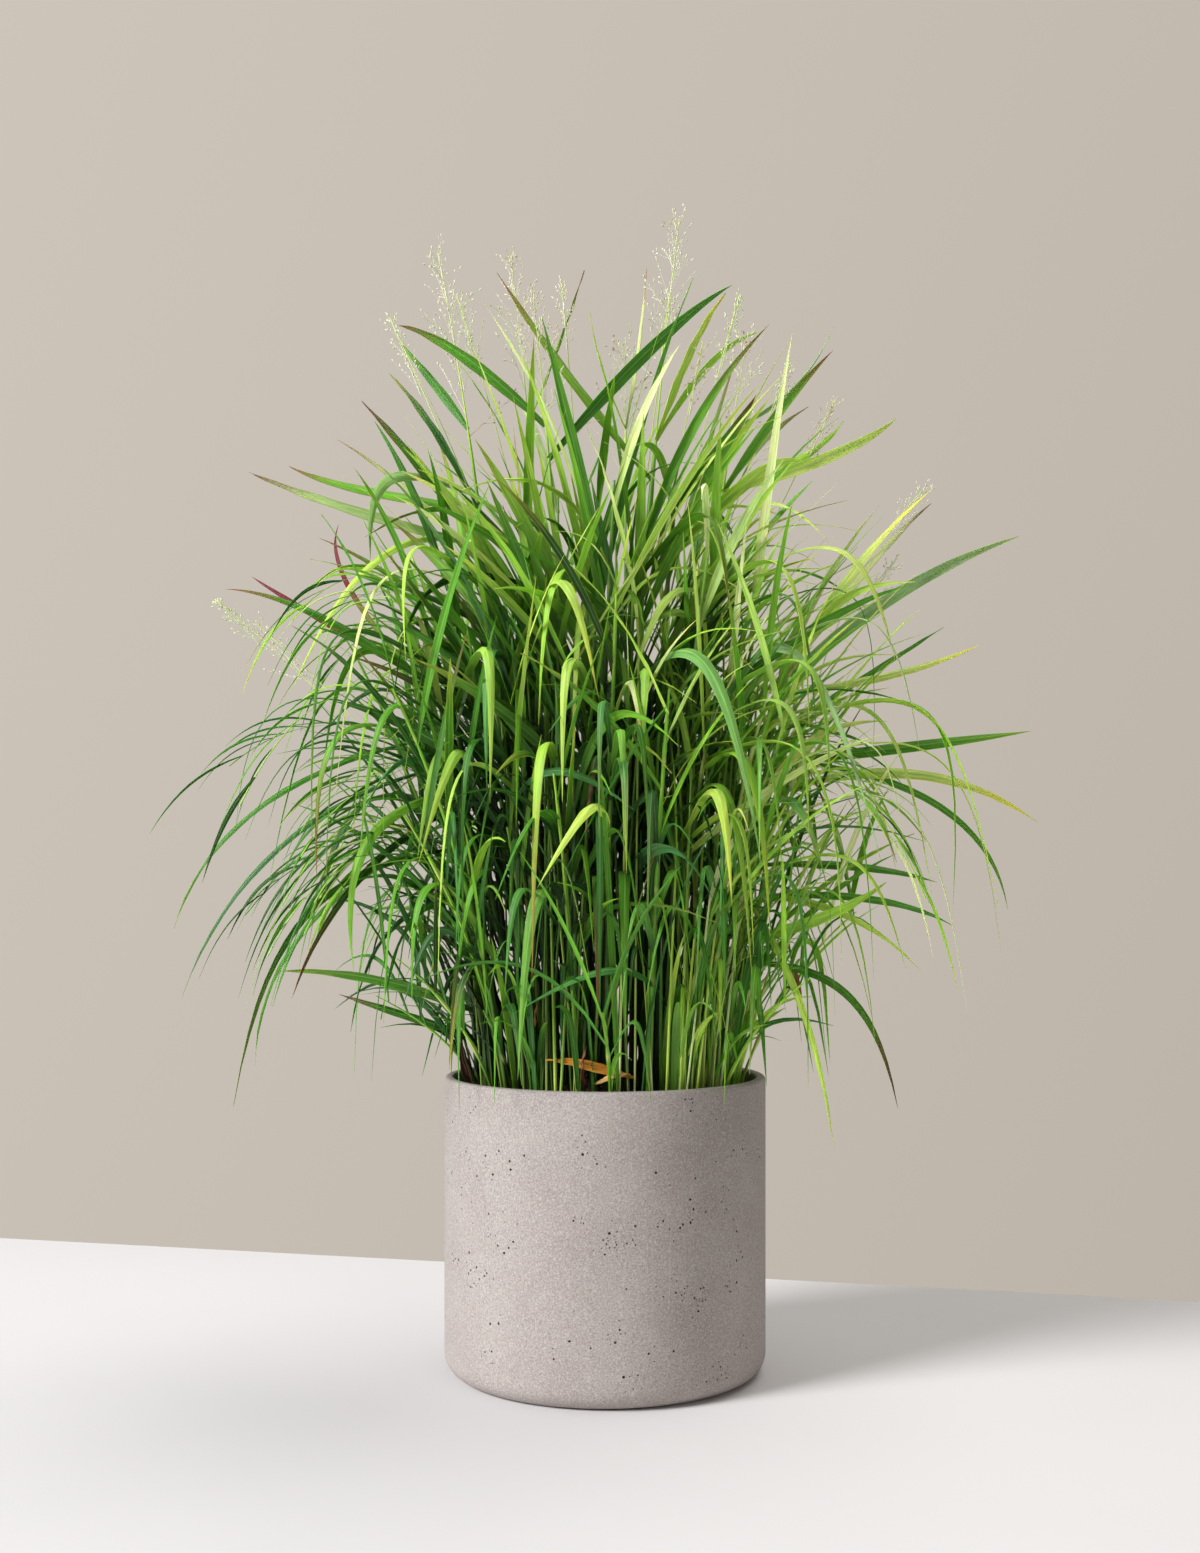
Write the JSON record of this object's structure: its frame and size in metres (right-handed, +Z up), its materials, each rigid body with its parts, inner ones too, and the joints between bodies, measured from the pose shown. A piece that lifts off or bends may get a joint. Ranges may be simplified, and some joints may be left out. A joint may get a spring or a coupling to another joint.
{
  "type": "potted switchgrass",
  "caption": "Clump of upright ornamental grass with long arching blades and thin seed heads, growing in a round concrete planter filled with soil.",
  "frame": {"origin": "middle of the planter's flat underside, on the surface it stands on", "axes": "+Z up along the planter's axis, -Y towards the viewer of the picture, +X to the viewer's right"},
  "size_m": [0.805, 0.5332, 1.08],
  "materials": {
    "concrete": "matte",
    "soil": "matte",
    "grass": "satin"
  },
  "bodies": {
    "root": {"planter": "concrete", "soil": "soil", "culm_01": "grass", "culm_02": "grass", "culm_03": "grass", "culm_04": "grass", "culm_05": "grass", "culm_06": "grass", "culm_07": "grass", "culm_08": "grass", "culm_09": "grass", "culm_10": "grass", "culm_11": "grass", "culm_12": "grass", "culm_13": "grass", "culm_14": "grass", "culm_15": "grass", "culm_16": "grass", "culm_17": "grass", "culm_18": "grass", "culm_19": "grass", "culm_20": "grass", "culm_21": "grass", "culm_22": "grass", "culm_23": "grass", "culm_24": "grass", "culm_25": "grass", "culm_26": "grass", "culm_27": "grass", "culm_28": "grass", "culm_29": "grass", "culm_30": "grass", "culm_31": "grass", "culm_32": "grass", "culm_33": "grass", "culm_34": "grass", "culm_35": "grass", "culm_36": "grass", "culm_37": "grass", "culm_38": "grass", "culm_39": "grass", "culm_40": "grass", "culm_41": "grass", "culm_42": "grass", "culm_43": "grass", "culm_44": "grass", "culm_45": "grass", "culm_46": "grass", "culm_47": "grass", "culm_48": "grass", "culm_49": "grass", "culm_50": "grass", "culm_51": "grass", "culm_52": "grass", "culm_53": "grass", "culm_54": "grass", "culm_55": "grass", "culm_56": "grass"}
  },
  "joints": []
}
